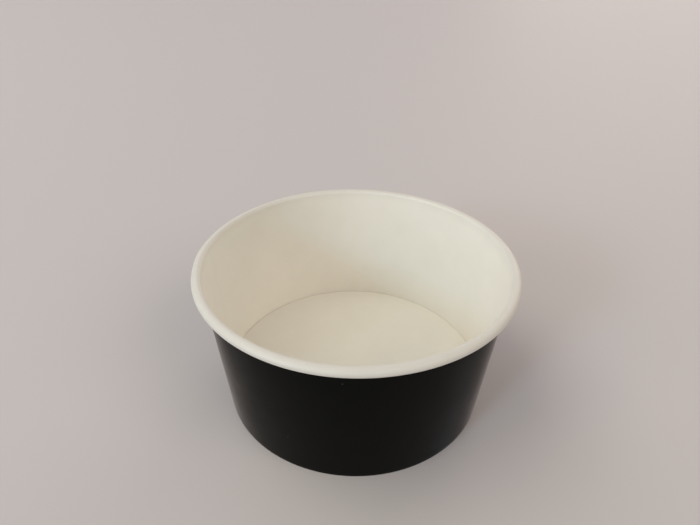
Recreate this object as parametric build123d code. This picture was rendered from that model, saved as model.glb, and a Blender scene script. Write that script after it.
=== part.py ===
from build123d import *
import math
import os

# A round take-away bowl made of two blanks of coated board.
# The side wall is one strip, wound into a cone and lapped at a side seam. Its upper edge is rolled
# outwards into the rim, and its lower edge is folded inwards and up into a hem.
# The bottom disc has its edge turned down into a skirt, which is trapped between the wall and the hem.
# The bowl stands on the table at z = 0, with its axis along +Z. All lengths are in millimetres.

# The bowl as a whole
rim_diameter = 150.0  # across the outside of the rolled rim
base_diameter = 128.0  # outer face of the wall, carried straight down to the table
height = 73.0  # from the table to the top of the rolled rim
floor_height = 8.0  # from the table to the face that the food lies on

# The two boards
wall_board = 0.4  # thickness of the side wall's board
disc_board = 0.4  # thickness of the bottom disc's board
glue_gap = 0.05  # the seal on each side of the skirt

# The rolled rim
rim_roll_diameter = 4.5  # across the outside of the roll
tuck_gap = 0.15  # between the roll's tucked-in edge and the outside of the wall

# The bottom disc's skirt and the hem that holds it
disc_bend_radius = 0.3  # inside of the bend from the disc to its skirt
skirt_end_gap = 0.3  # from the skirt's cut edge down to the fold that it stands in
hem_end_gap = 1.1  # from the hem's cut edge up to the underside of the disc

# The lap seam
seam_bearing = 175.0  # degrees from +X, place of the inner ply's cut edge
seam_overlap = 7.0  # width of the lap, along the wall
seam_step = 0.25  # how far the outer ply stands out over the inner one, pressed by the sealing
seam_ramp = 4.0  # width over which the outer ply comes down to the wall beside the lap
cut_overrun = 1.0  # how far a cutting shape reaches past the face that it cuts

# Places worked out from the sizes, in the half plane of distance from the axis and height
rim_roll_radius = rim_roll_diameter / 2
roll_centre = Vector(rim_diameter / 2 - rim_roll_radius, height - rim_roll_radius)
wall_foot = Vector(base_diameter / 2, 0)
foot_to_roll = roll_centre - wall_foot

# The wall's printed face leans out just enough to run into the inside of the roll as a tangent.
lean = math.acos((rim_roll_radius - wall_board) / foot_to_roll.length)
lean -= math.atan2(foot_to_roll.Y, foot_to_roll.X)
lean_degrees = math.degrees(lean)
right_angle = math.degrees(math.pi / 2)
up_the_wall = Vector(math.sin(lean), math.cos(lean))
out_of_the_wall = Vector(math.cos(lean), -math.sin(lean))

# The coated face runs from the sharp inside of the fold to the start of the roll.
fold_corner = wall_foot - out_of_the_wall * wall_board
fold_corner += up_the_wall * (wall_board * (1 - math.sin(lean)) / math.cos(lean))
wall_top = roll_centre - out_of_the_wall * rim_roll_radius
wall_length = (wall_top - fold_corner).length


def board_section(start, heading, steps, board):
    """Section of a strip of board that is bent as its steps say, with the board on the right of its path.

    A step is a length, for a flat stretch, or a pair of a radius and a turn in degrees, for a bend.
    The radius is that of the face along the path, zero for a sharp fold, and a left turn is positive.
    """
    pen = Pos(start.X, start.Y) * Rot(0, 0, heading)
    across = Pos(0, -board)
    edges = [Line(pen.position, (pen * across).position)]
    for step in steps:
        if isinstance(step, tuple):
            radius, turn = step
            side = math.copysign(1, turn)
            hub = pen * Pos(0, side * radius)
            if radius > 0:
                edges.append(hub * CenterArc((0, 0), radius, -side * right_angle, turn))
            edges.append(hub * CenterArc((0, 0), radius + side * board, -side * right_angle, turn))
            pen = hub * Rot(0, 0, turn) * Pos(0, -side * radius)
        else:
            stretch = Line((0, 0), (step, 0))
            edges.append(pen * stretch)
            edges.append(pen * across * stretch)
            pen = pen * Pos(step, 0)
    edges.append(Line(pen.position, (pen * across).position))
    return Plane.XZ * make_face(edges)


def turned_wall():
    """The side wall without its seam: hem, fold, wall and rolled rim, turned about the axis."""
    fold_width = (disc_board + 2 * glue_gap) / math.cos(lean)
    hem_top = floor_height - disc_board - hem_end_gap
    hem_length = (hem_top - wall_board) / math.cos(lean)
    hem_start = fold_corner - Vector(fold_width, 0) + up_the_wall * hem_length
    tuck_radius = rim_roll_radius - (wall_board + tuck_gap) / 2
    steps = [
        hem_length,
        (0, right_angle + lean_degrees),
        fold_width,
        (0, right_angle - lean_degrees),
        wall_length,
        (rim_roll_radius, -2 * right_angle),
        (tuck_radius, -2 * right_angle),
    ]
    return revolve(board_section(hem_start, -right_angle - lean_degrees, steps, wall_board), Axis.Z)


def seam_section(bearing, near, far, foot=0):
    """Section of a strip along the wall at a bearing in degrees, from near to far outside the coated face.

    It starts at foot, measured up the wall from the fold, and ends below the rolled rim.
    """
    start = fold_corner + out_of_the_wall * near + up_the_wall * foot
    length = wall_length - rim_roll_radius - foot
    return Rot(0, 0, bearing) * board_section(start, right_angle - lean_degrees, [length], far - near)


def side_wall():
    """The wound blank: the outer ply ramps up beside the inner ply's cut edge and then lies over it."""
    middle_radius = (fold_corner.X + wall_top.X) / 2
    overlap_turn = math.degrees(seam_overlap / middle_radius)
    ramp_start = seam_bearing - math.degrees(seam_ramp / middle_radius)
    in_board = wall_board / 2
    raised = wall_board + seam_step
    raised_end = seam_section(seam_bearing, in_board, raised)
    lap = revolve(raised_end, Axis.Z, overlap_turn)
    ramp = loft([seam_section(ramp_start, in_board, wall_board), raised_end], ruled=True)
    # The same ramp shows inside the bowl, above the floor, as a shallow hollow beside the inner ply.
    floor_foot = (floor_height - fold_corner.Y) / math.cos(lean)
    hollow_start = seam_section(ramp_start, -cut_overrun, 0, floor_foot)
    hollow_end = seam_section(seam_bearing, -cut_overrun, seam_step, floor_foot)
    hollow = loft([hollow_start, hollow_end], ruled=True)
    return turned_wall() + lap + ramp - hollow


def bottom_disc():
    """The flat disc with its edge turned down into a skirt that lies along the inside of the wall."""
    bend_radius = disc_bend_radius + disc_board
    bend_height = floor_height - bend_radius
    wall_at_bend = fold_corner.X + (bend_height - fold_corner.Y) * math.tan(lean)
    flat_radius = wall_at_bend - (bend_radius + glue_gap) / math.cos(lean)
    skirt_top = bend_height - bend_radius * math.sin(lean)
    skirt_length = (skirt_top - wall_board - skirt_end_gap) / math.cos(lean)
    steps = [flat_radius, (bend_radius, -right_angle - lean_degrees), skirt_length]
    return revolve(board_section(Vector(0, floor_height), 0, steps, disc_board), Axis.Z)


os.makedirs("parts", exist_ok=True)
export_step(side_wall(), "parts/side_wall.step")
export_step(bottom_disc(), "parts/bottom_disc.step")
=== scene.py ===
# %% [markdown]
# A paper bowl, dressed in Blender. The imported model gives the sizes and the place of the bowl's two
# pieces. This lesson builds a finer skin for each of them, gives the skins the finishes of the real
# board, and sets up a floor, soft light and a camera.

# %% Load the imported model
import bpy
import numpy as np
from mathutils import Matrix


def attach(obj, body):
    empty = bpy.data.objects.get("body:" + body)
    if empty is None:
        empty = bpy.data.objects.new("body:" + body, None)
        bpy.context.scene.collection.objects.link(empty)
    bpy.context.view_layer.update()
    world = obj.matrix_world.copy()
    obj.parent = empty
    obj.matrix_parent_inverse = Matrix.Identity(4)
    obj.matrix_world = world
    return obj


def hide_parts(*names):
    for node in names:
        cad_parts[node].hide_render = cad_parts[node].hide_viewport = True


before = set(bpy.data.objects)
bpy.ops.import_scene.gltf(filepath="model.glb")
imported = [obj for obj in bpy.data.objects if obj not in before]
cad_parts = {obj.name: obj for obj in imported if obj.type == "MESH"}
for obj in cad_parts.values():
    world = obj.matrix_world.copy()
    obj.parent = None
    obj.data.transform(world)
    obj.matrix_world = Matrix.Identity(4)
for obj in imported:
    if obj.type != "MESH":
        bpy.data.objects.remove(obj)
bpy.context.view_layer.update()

# %% [markdown]
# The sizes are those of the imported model, in millimetres. Blender works in metres, so one factor turns
# everything that is built below into metres at the end.

# %% Sizes of the bowl
MM = 0.001
rim_radius = 75.0  # outside of the rolled rim
base_radius = 64.0  # printed face of the wall, carried straight down to the table
height = 73.0  # from the table to the top of the roll
floor_height = 8.0  # from the table to the upper face of the bottom disc
board = 0.4  # thickness of both boards
glue_gap = 0.05  # the seal on each side of the disc's skirt
roll_radius = 2.25  # outside of the roll
tuck_gap = 0.15  # between the tucked-in edge and the wall
crease_radius = 0.1  # inside of the two folds of the hem
hem_end_gap = 1.1  # from the hem's cut edge up to the disc
skirt_end_gap = 0.3  # from the skirt's cut edge down to the fold
seam_bearing = 175.0  # degrees from +X, place of the inner ply's cut edge
seam_overlap = 7.0  # width of the lap
seam_step = 0.25  # how far the outer ply stands out over the inner one
seam_ramp = 4.0  # width over which the outer ply climbs on to the inner one
print("bowl", 2 * rim_radius, "mm across the rim and", height, "mm high, of board", board, "mm thick")

# %% [markdown]
# Seen in section, the bowl's board is a line that runs straight or bends. Complex numbers suit such a
# section: the real part is the distance from the axis, the imaginary part is the height, and a turn is a
# product. The wall leans so that it runs into the roll of the rim as a tangent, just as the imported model
# has it.

# %% Lean of the wall and its two ends
roll_hub = complex(rim_radius - roll_radius, height - roll_radius)
foot_to_hub = roll_hub - base_radius
lean = np.arccos((roll_radius - board) / abs(foot_to_hub)) - np.angle(foot_to_hub)
up_wall = np.exp(1j * (np.pi / 2 - lean))
out_wall = np.exp(-1j * lean)
fold_corner = base_radius - out_wall * board + up_wall * board * (1 - np.sin(lean)) / np.cos(lean)
wall_top = roll_hub - out_wall * roll_radius
print("lean", round(np.degrees(lean), 3), "degrees")
print("wall from", np.round(fold_corner, 3), "to", np.round(wall_top, 3))

# %% [markdown]
# One function draws any such strip. A step of the path has a length, a turn that is spread evenly along
# it, and the number of pieces it is cut into. A step without a turn is flat, and one with a turn is an
# arc. Because the pieces are added up with cumsum, the whole path comes out as one array.

# %% A strip of board in section
def board_path(start, heading, steps):
    """Points, headings and distances along one face of a bent strip, and the point where each step starts.

    A piece of length d that turns by t has a chord of d * sin(t / 2) / (t / 2), along the heading at its
    middle. Each point is the start plus the sum of the chords before it.
    """
    lengths, turns, counts = (np.array(column) for column in zip(*steps))
    piece_length = np.repeat(lengths / counts, counts)
    piece_turn = np.repeat(turns / counts, counts)
    headings = heading + np.concatenate([[0], np.cumsum(piece_turn)])
    chord = piece_length * np.sinc(piece_turn / (2 * np.pi))
    middle = headings[:-1] + piece_turn / 2
    points = start + np.concatenate([[0], np.cumsum(chord * np.exp(1j * middle))])
    along = np.concatenate([[0], np.cumsum(piece_length)])
    return points, headings, along, np.concatenate([[0], np.cumsum(counts)])


# %% [markdown]
# The side wall starts at the cut edge of the hem inside the base. It runs down to the fold, up the wall,
# and twice half a turn round the rim, the second time a little tighter so that the cut edge tucks in
# under the roll. A roll that is pressed in a die isn't quite round: it bends sharply off the wall, slopes
# outwards more gently and rounds off at the side. Its height and its reach stay those of the packed
# model, and the radii follow from them.

# %% Path of the side wall
def cut_back(turn):
    """Length that a rounded crease takes off each of the two flats that it joins."""
    return crease_radius * np.tan(turn / 2)


roll_rise = 0.5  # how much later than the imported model's the roll starts
slope_turn = np.radians(30)  # turn of the gentle outward slope
roll_start = wall_top + roll_rise * up_wall
corner_radius = (height - roll_start.imag) / (1 - np.sin(lean))
slope_reach = rim_radius - roll_start.real - corner_radius * np.cos(lean)
slope_radius, side_radius = np.linalg.solve(
    [[np.sin(slope_turn), 1 - np.sin(slope_turn)], [1 - np.cos(slope_turn), np.cos(slope_turn)]],
    [slope_reach, roll_radius])
side_turn = np.pi / 2 - slope_turn
print("roll bends by", np.round([corner_radius, slope_radius, side_radius], 2), "mm")

inner_turn, outer_turn = np.pi / 2 + lean, np.pi / 2 - lean
fold_width = (board + 2 * glue_gap) / np.cos(lean)
hem_length = (floor_height - board - hem_end_gap - board) / np.cos(lean)
wall_length = abs(roll_start - fold_corner)
tuck_radius = roll_radius - (board + tuck_gap) / 2
wall_steps = [
    (hem_length - cut_back(inner_turn), 0, 6),  # down the hem
    (crease_radius * inner_turn, inner_turn, 5),  # first fold
    (fold_width - cut_back(inner_turn) - cut_back(outer_turn), 0, 1),  # along the table
    (crease_radius * outer_turn, outer_turn, 5),  # second fold
    (wall_length - cut_back(outer_turn), 0, 30),  # up the wall
    (corner_radius * outer_turn, -outer_turn, 12),  # off the wall to the top of the roll
    (slope_radius * slope_turn, -slope_turn, 6),  # down the outward slope
    (side_radius * side_turn, -side_turn, 8),  # round the side
    (roll_radius * lean, -lean, 1),  # on to the underside
    (tuck_radius * np.pi, -np.pi, 18),  # tucked in under the roll
]
hem_start = fold_corner - fold_width + up_wall * hem_length
wall_path, wall_heading, wall_along, wall_marks = board_path(hem_start, -np.pi / 2 - lean, wall_steps)
hem_end, _, second_fold, wall_from, wall_to = wall_marks[1:6]
print("side wall path", len(wall_path), "points", round(wall_along[-1], 2), "mm")

# %% [markdown]
# The columns of the grid go round the axis. The side wall's strip is closed by a lap seam: the outer ply
# climbs a short ramp, lies over the inner ply and ends in a cut edge. Two columns that almost coincide
# stand on each cut edge, so that the step there is sharp.

# %% Columns round the axis and the lap seam
middle_radius = (fold_corner.real + wall_top.real) / 2
overlap_end = seam_bearing + np.degrees(seam_overlap / middle_radius)
ramp_start = seam_bearing - np.degrees(seam_ramp / middle_radius)
edge_width = 0.03  # degrees between the two columns of a cut edge
inner_edge_end = seam_bearing + edge_width
outer_edge_end = overlap_end + edge_width
ramp_columns = 6
even_count = 384
clear_of_seam = 0.2  # degrees that an even column keeps from those of the seam
seam_columns = [seam_bearing, inner_edge_end, overlap_end, outer_edge_end]
seam_columns += list(np.linspace(ramp_start, seam_bearing, ramp_columns + 1)[:-1])
even_columns = np.linspace(0, 360, even_count, endpoint=False)
seam_distance = np.abs(even_columns[:, None] - np.array(seam_columns)).min(axis=1)
bearings = np.sort(np.concatenate([even_columns[seam_distance > clear_of_seam], seam_columns]))


def eased(x):
    """Smooth step 3x^2 - 2x^3, from 0 to 1."""
    x = np.clip(x, 0, 1)
    return x * x * (3 - 2 * x)


lift = eased(np.interp(bearings, [ramp_start, seam_bearing, overlap_end, outer_edge_end], [0, 1, 1, 0]))
hollow = eased(np.interp(bearings, [ramp_start, seam_bearing, inner_edge_end], [0, 1, 0]))
print("columns", len(bearings), "lap from", seam_bearing, "to", round(overlap_end, 2), "degrees")

# %% [markdown]
# A wound and pressed paper bowl is never quite true. Its rim wavers by a tenth of a millimetre, and the
# roll is thicker where the two plies of the lap run through it. Both are small sums and bumps of the
# bearing.

# %% Two faces of the side wall, as grids of distance and height
turn = np.radians(bearings)


def waves(*parts):
    """Sum of sines of the bearing, each with a size in millimetres, a number of waves round and a start."""
    return sum(size * np.sin(count * turn + start) for size, count, start in parts)


wave_out = waves((0.10, 2, 0.6), (0.06, 3, 2.1), (0.03, 7, 0.9))
wave_up = waves((0.08, 2, 1.3), (0.05, 4, 0.2))
lap_middle = (ramp_start + overlap_end) / 2
lap_bulge = 0.25  # how much thicker the roll is over the lap
bulge_width = 6.0  # degrees
thick_roll = lap_bulge * np.exp(-((bearings - lap_middle) / bulge_width) ** 2)

lap_fade = 1.5  # length over which the lap fades out above the fold and under the roll
floor_fade = 0.4  # height over which the hollow fades out above the floor
roll_fade = 2.5  # length over which the roll gets thicker
above_fold = eased((wall_along - wall_along[second_fold]) / lap_fade)
under_roll = eased((wall_along[wall_to] - roll_rise - lap_fade - wall_along) / lap_fade)
above_floor = eased((wall_path.imag - floor_height) / floor_fade) * (wall_along > wall_along[wall_from])
in_roll = eased((wall_along - wall_along[wall_to]) / roll_fade)

right_of_path = -1j * np.exp(1j * wall_heading)[:, None]
thicker = np.outer(in_roll, thick_roll)
hollowed = seam_step * np.outer(above_floor * under_roll, hollow)
lifted = seam_step * np.outer(above_fold * under_roll, lift)
coated = wall_path[:, None] + right_of_path * (hollowed - thicker)
printed = wall_path[:, None] + right_of_path * (board + lifted - thicker)


def wavering(section):
    """The section moved out and up by the two waves, times the square of its share of the height."""
    height_share = np.clip(section.imag, 0, None) / height
    return section + height_share ** 2 * (wave_out + 1j * wave_up)


wall_rows = wavering(np.concatenate([coated, printed[::-1]]))
print("rows of the side wall", wall_rows.shape)

# %% [markdown]
# A grid of rows and columns becomes a mesh. The rows of the side wall form a loop: up the coated face,
# over one cut edge, back along the printed face and over the other cut edge. The columns form a ring, so
# the skin closes on itself twice, like a tube bent into a ring. The UV map unrolls it: across is the
# bearing, up is the loop.

# %% Mesh of a grid carried round the axis
def ring_corners(band_count, column_count):
    """Row and column of the four corners of each quad in bands between neighbouring rows.

    The corner after the last column stands for the first one again, and so does the row after the last in
    a loop.
    """
    row, column = np.divmod(np.arange(band_count * column_count), column_count)
    return np.stack([row, row, row + 1, row + 1], 1), np.stack([column, column + 1, column + 1, column], 1)


def carried_round(rows):
    """Each section point r + iz at bearing b is the point (r cos b, r sin b, z), in metres."""
    places = np.stack([rows.real * np.cos(turn), rows.real * np.sin(turn), rows.imag], axis=-1)
    return places.reshape(-1, 3) * MM


blank_map = "OFBake"
sharp_angle = np.radians(42)  # between two faces, past which their edge is sharp


def new_piece(name, places, faces, uv):
    """Mesh object at the origin with smooth faces, sharp edges at steps and cut edges, and a UV map."""
    mesh = bpy.data.meshes.new(name)
    mesh.from_pydata(places, [], faces)
    mesh.uv_layers.new(name=blank_map).data.foreach_set("uv", uv.astype(np.float32).ravel())
    mesh.polygons.foreach_set("use_smooth", np.ones(len(mesh.polygons), bool))
    mesh.set_sharp_from_angle(angle=sharp_angle)
    mesh.validate()
    piece = bpy.data.objects.new(name, mesh)
    bpy.context.scene.collection.objects.link(piece)
    return piece


def enclosed_volume(piece):
    """Sum over the triangles of a . (b x c) / 6, in cubic millimetres.

    It is above zero if the faces point outwards.
    """
    mesh = piece.data
    mesh.calc_loop_triangles()
    corner = np.empty(len(mesh.loop_triangles) * 3, int)
    mesh.loop_triangles.foreach_get("vertices", corner)
    place = np.empty(len(mesh.vertices) * 3)
    mesh.vertices.foreach_get("co", place)
    a, b, c = place.reshape(-1, 3)[corner.reshape(-1, 3)].transpose(1, 0, 2)
    return float((a * np.cross(b, c)).sum() / 6 / MM ** 3)


# %% The side wall as a piece
row_count, column_count = wall_rows.shape
corner_row, corner_column = ring_corners(row_count, column_count)
wall_faces = (corner_row % row_count) * column_count + corner_column % column_count
loop_step = np.abs(np.diff(wall_rows[:, 0], append=wall_rows[:1, 0]))
loop_share = np.concatenate([[0], np.cumsum(loop_step)]) / loop_step.sum()
bearing_share = np.concatenate([bearings, [360 + bearings[0]]]) / (360 + bearings[0])
wall_uv = np.stack([bearing_share[corner_column], loop_share[corner_row]], axis=-1)
side_wall = new_piece("bowl_side_wall", carried_round(wall_rows), wall_faces.tolist(), wall_uv)
wall_volume = round(enclosed_volume(side_wall))
print("side wall", len(side_wall.data.polygons), "faces, volume", wall_volume, "mm3")

# %% [markdown]
# The bottom is a flat disc of the same board with its edge turned down into a skirt. It is made in the
# same way, from the middle over the skirt's cut edge and back to the middle underneath. Board that has
# been pressed in stays a little uneven, so the flat part rises and falls by a tenth of a millimetre.

# %% Rows of the bottom disc
disc_crease = 0.05  # inside of the bend from the disc to its skirt
seal_gap = 0.01  # between the skirt and the wall
bend_radius = disc_crease + board
bend_height = floor_height - bend_radius
wall_at_bend = fold_corner.real + (bend_height - fold_corner.imag) * np.tan(lean)
flat_radius = wall_at_bend - (bend_radius + seal_gap) / np.cos(lean)
skirt_length = (bend_height - bend_radius * np.sin(lean) - board - skirt_end_gap) / np.cos(lean)
disc_steps = [
    (flat_radius, 0, 16),  # from the middle outwards
    (bend_radius * inner_turn, -inner_turn, 7),  # over the edge
    (skirt_length, 0, 4),  # down the skirt
]
disc_path, disc_heading, disc_along, _ = board_path(1j * floor_height, 0.0, disc_steps)
disc_under = disc_path - 1j * board * np.exp(1j * disc_heading)
disc_loop = np.concatenate([disc_path, disc_under[::-1]])[:, None]
out_share = disc_loop.real / flat_radius
still_middle = 0.2  # share of the radius that stays flat in the middle
still_fade = 0.3  # share of the radius over which the waves grow and fade
uneven = eased((out_share - still_middle) / still_fade) * eased((1 - out_share) / still_fade)
disc_rows = disc_loop + 1j * uneven * waves((0.10, 2, 0.4), (0.06, 3, 1.9))
print("rows of the bottom disc", disc_rows.shape)

# %% [markdown]
# The first and the last row of the disc lie on the axis. All the points of such a row are one point, so
# the quads beside it lose a corner and become a fan of triangles. The UV map lays the upper and the under
# face out as two flat discs side by side, by the distance along the board.

# %% The bottom disc as a piece
disc_row_count, face_count = len(disc_rows), len(disc_path)
disc_row, disc_column = ring_corners(disc_row_count - 1, column_count)
last_point = (disc_row_count - 2) * column_count + 1
disc_corners = np.clip((disc_row - 1) * column_count + disc_column % column_count + 1, 0, last_point)
disc_places = np.concatenate([[[0, 0, floor_height * MM]], carried_round(disc_rows[1:-1]),
                              [[0, 0, (floor_height - board) * MM]]])


def fans_at_ends(quads):
    """The first and the last ring of quads with the doubled corner left out, and the quads between them."""
    first, last = quads[:column_count, [0, 2, 3]], quads[-column_count:, [0, 1, 2]]
    return first, quads[column_count:-column_count], last


upper_middle, under_middle, map_middle = 0.25, 0.75, 0.5
map_reach_across, map_reach_up = 0.245, 0.49


def laid_out(row, column):
    """Corner at reach d and bearing b: the middle of its disc plus d (cos b, sin b).

    The reach is measured along the board.
    """
    under = row[:, :1] >= face_count
    along_upper = np.append(disc_along, disc_along[-1] + board)[np.clip(row, 0, face_count)]
    along_under = disc_along[np.clip(disc_row_count - 1 - row, 0, face_count - 1)]
    reach = np.where(under, along_under, along_upper) / (disc_along[-1] + board)
    angle = turn[column % column_count]
    across = np.where(under, under_middle, upper_middle) + map_reach_across * reach * np.cos(angle)
    return np.stack([across, map_middle + map_reach_up * reach * np.sin(angle)], axis=-1)


disc_faces = [face for ring in fans_at_ends(disc_corners) for face in ring.tolist()]
disc_uv = np.concatenate([ring.reshape(-1, 2) for ring in fans_at_ends(laid_out(disc_row, disc_column))])
bottom_disc = new_piece("bowl_bottom_disc", disc_places, disc_faces, disc_uv)
disc_volume = round(enclosed_volume(bottom_disc))
print("bottom disc", len(bottom_disc.data.polygons), "faces, volume", disc_volume, "mm3")

# %% [markdown]
# The finishes are made of nodes. A few short helpers keep them readable: one makes an empty material, one
# adds a node and fills its sockets, and the others are the small steps that every finish below is put
# together from.

# %% Helpers for materials
def new_finish(name):
    """A material, its node tree and its one Principled shader."""
    material = bpy.data.materials.new(name)
    material.use_nodes = True
    return material, material.node_tree, material.node_tree.nodes["Principled BSDF"]


def fill(tree, node, inputs):
    """Links an input to another node's socket, or sets a plain value on it."""
    for key, value in inputs.items():
        if isinstance(value, bpy.types.NodeSocket):
            tree.links.new(value, node.inputs[key])
        else:
            node.inputs[key].default_value = value


def add(tree, kind, inputs, **settings):
    """A new shader node with its settings and inputs."""
    node = tree.nodes.new("ShaderNode" + kind)
    for key, value in settings.items():
        setattr(node, key, value)
    fill(tree, node, inputs)
    return node


def math(tree, operation, a, b):
    """One sum, product or other step on two values."""
    return add(tree, "Math", {0: a, 1: b}, operation=operation).outputs["Value"]


def share(tree, value, low, high, to_low=0.0, to_high=1.0):
    """The value carried evenly from low..high to to_low..to_high and held there beyond both ends."""
    ends = {"From Min": low, "From Max": high, "To Min": to_low, "To Max": to_high}
    return add(tree, "MapRange", {"Value": value, **ends}).outputs["Result"]


def shaded(tree, value, low, high, low_colour, high_colour):
    """A colour that goes from one to the other as the value goes from low to high."""
    ramp = add(tree, "ValToRGB", {"Fac": value})
    for end, position, colour in zip(ramp.color_ramp.elements, (low, high), (low_colour, high_colour)):
        end.position, end.color = position, (*colour, 1)
    return ramp.outputs["Color"]


def tinted(tree, colour, mask, tint, blend="MIX"):
    """The colour where the mask is 0, and mixed with the tint or multiplied by it where the mask is 1."""
    mix = add(tree, "Mix", {0: mask, 6: colour, 7: (*tint, 1)}, data_type="RGBA", blend_type=blend)
    return mix.outputs[2]


# %% [markdown]
# Board is pressed from fibres. They show as soft clouds in the colour, as fine streaks along the way the
# board ran through the machine, and as a slight unevenness under film and print. All the finishes share
# this, so it is one node group. It reads the place on the bowl in metres and the place on the flat blank,
# and gives values around 0.5.

# %% The fibres of the board, as a group
cloud_low, cloud_high = 0.3, 0.7  # the span that most of the clouds lie in
relief_height = 0.2 * MM
streak_scale = (900.0, 60.0, 1.0)
fibres = bpy.data.node_groups.new("board_fibres", "ShaderNodeTree")
for name, way, kind in [("Place", "INPUT", "Vector"), ("Blank", "INPUT", "Vector"),
                        ("Clouds", "OUTPUT", "Float"), ("Unevenness", "OUTPUT", "Float")]:
    fibres.interface.new_socket(name, in_out=way, socket_type="NodeSocket" + kind)
given = fibres.nodes.new("NodeGroupInput").outputs
clouds = add(fibres, "TexNoise", {"Vector": given["Place"], "Scale": 70.0, "Detail": 4.0, "Roughness": 0.6})
grit = add(fibres, "TexNoise", {"Vector": given["Place"], "Scale": 900.0, "Detail": 3.0, "Roughness": 0.55})
stretched = add(fibres, "VectorMath", {0: given["Blank"], 1: streak_scale}, operation="MULTIPLY")
streaks = add(fibres, "TexNoise", {"Vector": stretched.outputs["Vector"], "Scale": 1.0, "Detail": 3.0})
fibre_mix = add(fibres, "Mix", {"Factor": 0.5, "A": grit.outputs["Fac"], "B": streaks.outputs["Fac"]})
taken = fibres.nodes.new("NodeGroupOutput")
fill(fibres, taken, {"Clouds": clouds.outputs["Fac"], "Unevenness": fibre_mix.outputs["Result"]})
print("board fibres", len(fibres.nodes), "nodes")


def board_fibres(tree):
    """The group placed in a material: place on the bowl, place on the blank, clouds and unevenness."""
    place = add(tree, "TexCoord", {}).outputs["Object"]
    blank = add(tree, "UVMap", {}, uv_map=blank_map).outputs["UV"]
    group = add(tree, "Group", {}, node_tree=fibres)
    fill(tree, group, {"Place": place, "Blank": blank})
    return place, blank, group.outputs["Clouds"], group.outputs["Unevenness"]


def height_on_bowl(tree, place):
    """The height above the table, in metres."""
    return add(tree, "SeparateXYZ", {0: place}).outputs["Z"]


def point_on(face, bearing, height):
    """Where a rising stretch of a section passes a height in millimetres, turned to a bearing in degrees."""
    radius, around = np.interp(height, face.imag, face.real), np.radians(bearing)
    return radius * np.cos(around), radius * np.sin(around), height


def near(tree, place, point, reach):
    """1 within half the reach of a point, given in millimetres, and 0 beyond the reach."""
    distance = add(tree, "VectorMath", {0: place, 1: [x * MM for x in point]}, operation="DISTANCE")
    return share(tree, distance.outputs["Value"], reach * MM, reach * MM / 2)


# %% [markdown]
# The inside of the bowl is warm white board under a thin film that keeps it dry. The film gives a soft
# satin gloss and follows the fibres. The outer half of the roll is painted a little greyer, as painted
# shade. Along the line where the floor meets the wall, the colour is mixed a little towards brown, in
# patches, and where the lap's inner edge meets the roll two small brownish dots are painted shade of a
# tiny nick. A point's distance from that line is worked out in the section, from its radius and its height.

# %% White coated board
coated_white, tree, shader = new_finish("white_coated_board")
place, _, clouds, unevenness = board_fibres(tree)
bowl_height = height_on_bowl(tree, place)
white = shaded(tree, clouds, cloud_low, cloud_high, (0.872, 0.842, 0.762), (0.898, 0.869, 0.791))
flattened = add(tree, "VectorMath", {0: place, 1: (1.0, 1.0, 0.0)}, operation="MULTIPLY").outputs["Vector"]
radius = add(tree, "VectorMath", {0: flattened}, operation="LENGTH").outputs["Value"]
tone_from, tone_to = 70.2 * MM, 71.4 * MM  # radii between which the painted shade on the roll comes in
# painted shade: the outer half of the roll is multiplied by a grey so that it looks less lit
roll_painted_shade = (0.855, 0.85, 0.84)
white = tinted(tree, white, share(tree, radius, tone_from, tone_to), roll_painted_shade, "MULTIPLY")
# the radii between which the roll's colour is painted greyer as shade
print("film gets tight from", round(tone_from / MM, 1), "to", round(tone_to / MM, 1), "mm")

# %% The line at the seal and the painted shade of the nick
in_section = add(tree, "CombineXYZ", {"X": radius, "Z": bowl_height}).outputs["Vector"]
joint_radius = fold_corner.real + (floor_height - fold_corner.imag) * np.tan(lean)
seal_depth, seal_reach, seal_strength = 0.2, 0.7, 0.1  # below the floor, to each side, and of 1
joint_line_mask = near(tree, in_section, (joint_radius, 0, floor_height - seal_depth), seal_reach)
patch_low, patch_high = 0.35, 0.65  # clouds between which the line fades in
joint_line_brown = (0.50, 0.38, 0.27)
joint_line_mask = math(tree, "MULTIPLY", joint_line_mask, share(tree, clouds, patch_low, patch_high, 0.0, seal_strength))
# the colour is mixed a little towards brown, in patches, along the line where the floor meets the wall
white = tinted(tree, white, joint_line_mask, joint_line_brown)
rising_bend = 10  # points at the start of the roll where the coated face still rises
coated_face = wall_path[wall_from:wall_to + rising_bend]
nicks = [(174.8, 71.3, 0.3), (173.5, 71.35, 0.2)]  # bearing, height and reach
# painted shade: two small brownish dots stand for the shade in a tiny nick where the lap's edge meets the
# roll
nick_painted_shade = (0.50, 0.43, 0.34)
for bearing, mark_height, reach in nicks:
    nick = point_on(coated_face, bearing, mark_height)
    white = tinted(tree, white, near(tree, place, nick, reach), nick_painted_shade)

bump = add(tree, "Bump", {"Height": unevenness, "Strength": 0.2, "Distance": relief_height})
satin = share(tree, clouds, cloud_low, cloud_high, 0.38, 0.5)
fill(tree, shader, {"Base Color": white, "Roughness": satin, "Normal": bump.outputs["Normal"]})
print("white coated board", len(tree.nodes), "nodes, joint line at", round(joint_radius, 2), "mm")

# %% [markdown]
# The outside is printed black with a satin varnish. It carries two pale specks, each no larger than half
# a millimetre. On the fold that the bowl stands on, the print is stretched thin and the board shows
# through a little. The wheel that presses the hem leaves fine upright ribs in it. The UV map says which
# faces belong to the hem, so the ribs stay there.

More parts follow.
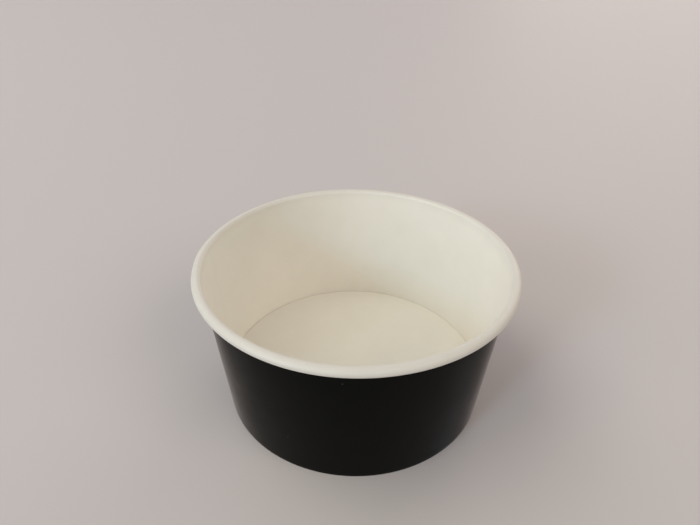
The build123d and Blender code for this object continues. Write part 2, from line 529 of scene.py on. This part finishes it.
# %% Black printed board
printed_black, tree, shader = new_finish("black_printed_board")
place, blank, clouds, unevenness = board_fibres(tree)
black = shaded(tree, clouds, cloud_low, cloud_high, (0.0009, 0.0012, 0.0008), (0.0022, 0.0025, 0.0020))
printed_face = (wall_path + board * right_of_path[:, 0])[wall_from:wall_to]
specks = [(265.75, 61.85), (244.3, 19.9)]  # bearing and height
speck_reach, speck_grey = 0.35, (0.06, 0.065, 0.06)
for bearing, mark_height in specks:
    speck = point_on(printed_face, bearing, mark_height)
    black = tinted(tree, black, near(tree, place, speck, speck_reach), speck_grey)
thin_up_to, thin_all_below = 0.2 * MM, 0.05 * MM
standing = share(tree, height_on_bowl(tree, place), thin_up_to, thin_all_below)
worn_low, worn_high = 0.45, 0.65  # clouds between which the print gets thin
thin_grey = (0.045, 0.039, 0.033)
thin_print = math(tree, "MULTIPLY", standing, share(tree, clouds, worn_low, worn_high))
black = tinted(tree, black, thin_print, thin_grey)
print("specks", specks, "and thin print up to", round(thin_up_to / MM, 2), "mm")

# %% Ribs of the hem, and the varnish
across_blank = add(tree, "SeparateXYZ", {0: blank}).outputs
rib_count = 240
ribs = math(tree, "SINE", math(tree, "MULTIPLY", across_blank["X"], 2 * np.pi * rib_count), 0.0)
hem_row = 2 * len(wall_path) - 1 - hem_end
on_hem = share(tree, across_blank["Y"], loop_share[hem_row - 1], loop_share[hem_row])
relief = math(tree, "ADD", unevenness, math(tree, "MULTIPLY", ribs, on_hem))
bump = add(tree, "Bump", {"Height": relief, "Strength": 0.14, "Distance": relief_height})
satin = share(tree, clouds, cloud_low, cloud_high, 0.40, 0.50)
fill(tree, shader, {"Base Color": black, "Roughness": satin, "IOR": 1.14, "Normal": bump.outputs["Normal"],
                    "Sheen Weight": 0.7, "Sheen Roughness": 0.22, "Sheen Tint": (1.0, 0.93, 0.90, 1)})
print("black printed board", len(tree.nodes), "nodes")

# %% [markdown]
# The disc has its film on the upper face only, so its underside is plain matt board. Cut edges show the
# board's core: slightly brown, and rougher because the knife pulls at the fibres. Both take the same
# group with other values.

# %% Plain and cut board
fleck_low, fleck_high = 0.38, 0.62  # the span that most of the flecks lie in


def bare_board(name, dark, pale, relief):
    """Matt board between two colours, with the fibres standing up by the relief."""
    finish, tree, shader = new_finish(name)
    _, _, clouds, unevenness = board_fibres(tree)
    fleck = math(tree, "MULTIPLY", math(tree, "ADD", clouds, unevenness), 0.5)
    colour = shaded(tree, fleck, fleck_low, fleck_high, dark, pale)
    bump = add(tree, "Bump", {"Height": unevenness, "Strength": relief, "Distance": relief_height})
    fill(tree, shader, {"Base Color": colour, "Roughness": 0.85, "Normal": bump.outputs["Normal"]})
    return finish


plain_board = bare_board("plain_board", (0.73, 0.70, 0.63), (0.78, 0.75, 0.68), 0.15)
cut_board = bare_board("cut_board", (0.58, 0.51, 0.41), (0.72, 0.67, 0.58), 0.3)
print("bare boards", plain_board.name, cut_board.name)

# %% [markdown]
# Every face gets its finish by its place in the grid. On the side wall the first half of the loop is
# coated and the second is printed. The two faces that close the loop are cut edges, and so are the narrow
# faces of the lap: the inner ply's edge inside the bowl and the outer ply's edge outside.

# %% Finishes on the faces
def dress(piece, finishes, face_finish):
    """Gives a piece its finishes and each face the number of one of them."""
    for finish in finishes:
        piece.data.materials.append(finish)
    piece.data.polygons.foreach_set("material_index", face_finish.astype(np.int32))
    print(piece.name, [finish.name for finish in finishes], np.bincount(face_finish))


point_count = len(wall_path)
face_row, face_column = np.divmod(np.arange(row_count * column_count), column_count)
is_coated = face_row < point_count
face_step = np.where(is_coated, face_row, 2 * point_count - 2 - face_row)
on_wall = (face_step >= wall_from) & (face_step < wall_to)
lap_edge = np.where(is_coated, seam_bearing, overlap_end)
is_cut = on_wall & np.isclose(bearings[face_column], lap_edge)
is_cut |= (face_row == point_count - 1) | (face_row == row_count - 1)
inner_slot, outer_slot, cut_slot = range(3)
wall_finish = np.where(is_cut, cut_slot, np.where(is_coated, inner_slot, outer_slot))
dress(side_wall, [coated_white, printed_black, cut_board], wall_finish)

disc_band = np.arange(disc_row_count - 1).repeat(column_count)
is_skirt_edge, is_under = disc_band == face_count - 1, disc_band >= face_count
disc_finish = np.select([is_skirt_edge, is_under], [cut_slot, outer_slot], inner_slot)
dress(bottom_disc, [coated_white, plain_board, cut_board], disc_finish)

# %% [markdown]
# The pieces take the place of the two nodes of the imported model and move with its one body.

# %% Pieces on the frame
for piece, node, slot in [(side_wall, "side_wall", "black_printed_board"),
                          (bottom_disc, "bottom_disc", "white_coated_board")]:
    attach(piece, "root")
    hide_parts(node)
    print(piece.name, "stands for", node)

# %% [markdown]
# The bowl stands on a plain pale floor. It is even, so one colour and one roughness are enough for it.

# %% Floor
floor_mesh = bpy.data.meshes.new("floor")
floor_reach = 3.0  # metres from the bowl to each side
floor_corners = [(x * floor_reach, y * floor_reach, 0) for x, y in ((-1, -1), (1, -1), (1, 1), (-1, 1))]
floor_mesh.from_pydata(floor_corners, [], [(0, 1, 2, 3)])
floor = bpy.data.objects.new("floor", floor_mesh)
bpy.context.scene.collection.objects.link(floor)
pale_floor, tree, shader = new_finish("pale_floor")
fill(tree, shader, {"Base Color": (0.635, 0.595, 0.585, 1), "Roughness": 0.6})
floor_mesh.materials.append(pale_floor)
print("floor", 2 * floor_reach, "m wide")

# %% [markdown]
# The light is soft and warm, strongest from the left. It could be one large dome, but a few large square
# lamps are easier to balance against each other. One more lamp is small and cool. The near side of the
# rim shades the inner wall from it, so its light ends there along a slanting edge, which shows that the
# bowl is deep. A weak even surround fills what is left, and what looks at the surround directly or by a
# reflection sees a pale backdrop.

# %% Surround
world = bpy.data.worlds.new("soft_surround")
bpy.context.scene.world = world
world.use_nodes = True
tree = world.node_tree
ray = add(tree, "LightPath", {}).outputs
seen = math(tree, "MAXIMUM", ray["Is Camera Ray"], ray["Is Glossy Ray"])
fill_strength, backdrop_strength = 0.25, 0.70
strength = add(tree, "Mix", {"Factor": seen, "A": fill_strength, "B": backdrop_strength})
background = tree.nodes["Background"]
fill(tree, background, {"Color": (1.0, 0.985, 0.97, 1), "Strength": strength.outputs["Result"]})
print("surround", fill_strength, "as light and", backdrop_strength, "as backdrop")

# %% Lamps
lamp_distance = 4.0  # metres
aim = np.array([0, 0, 0.04])  # about the middle of the bowl, in metres


def soft_lamp(name, bearing, elevation, spread, power, colour):
    """A square lamp at a bearing and an elevation in degrees, shining at the bowl.

    Its side is a share of its distance, the spread, and its power grows with the square of the distance, so
    that the distance alone hardly changes the light on the bowl. The power is that of a lamp at one metre.
    """
    data = bpy.data.lights.new(name, "AREA")
    data.shape, data.size = "SQUARE", spread * lamp_distance
    data.energy, data.color = power * lamp_distance ** 2, colour
    lamp = bpy.data.objects.new(name, data)
    bpy.context.scene.collection.objects.link(lamp)
    around, up = np.radians(bearing), np.radians(elevation)
    back = np.array([np.cos(around) * np.cos(up), np.sin(around) * np.cos(up), np.sin(up)])
    across = np.array([-np.sin(around), np.cos(around), 0])
    axes = np.stack([across, np.cross(back, across), back], 1)
    lamp.matrix_world = Matrix.Translation(aim + lamp_distance * back) @ Matrix(axes.tolist()).to_4x4()
    lamp.visible_camera = False


soft_lamp("small_cool_lamp", 228, 23.3, 0.17, 1.65, (0.32, 0.68, 1.0))
soft_lamp("front_left_lamp", 218, 20, 0.6, 3.11, (1.0, 0.92, 0.84))
soft_lamp("high_left_lamp", 180, 60, 0.6, 2.32, (1.0, 0.945, 0.765))
soft_lamp("back_left_lamp", 135, 40, 0.6, 1.15, (0.85, 0.81, 1.0))
soft_lamp("back_right_lamp", 60, 20, 0.6, 1.85, (1.0, 0.86, 0.835))
soft_lamp("high_right_lamp", 320, 40, 0.6, 2.46, (1.0, 0.857, 0.73))

# %% [markdown]
# The camera stands where the photo was taken from. Its place, tilt and lens were found by fitting the
# outlines of the rim, the base and the sides, for an image of 700 by 525 pixels.

# %% Camera
camera_place = (-0.002968, -0.227108, 0.218399)
pitch, roll = 0.5766, 0.0131
focal_pixels, image_width = 581.53, 700
sensor_width = 36.0
forward = np.array([0, np.cos(pitch), -np.sin(pitch)])
right = np.array([1.0, 0, 0])
down = np.cross(forward, right)
camera_right = np.cos(roll) * right - np.sin(roll) * down
camera_down = np.sin(roll) * right + np.cos(roll) * down
camera_data = bpy.data.cameras.new("photo_camera")
camera_data.sensor_width = sensor_width
camera_data.lens = focal_pixels / image_width * sensor_width
camera_data.clip_start = 0.01
camera = bpy.data.objects.new("photo_camera", camera_data)
bpy.context.scene.collection.objects.link(camera)
axes = np.stack([camera_right, -camera_down, -forward], 1)
camera.matrix_world = Matrix.Translation(camera_place) @ Matrix(axes.tolist()).to_4x4()
bpy.context.scene.camera = camera
bpy.context.scene.view_settings.view_transform = "Standard"
print("lens", round(camera_data.lens, 2), "mm, camera at", camera_place)
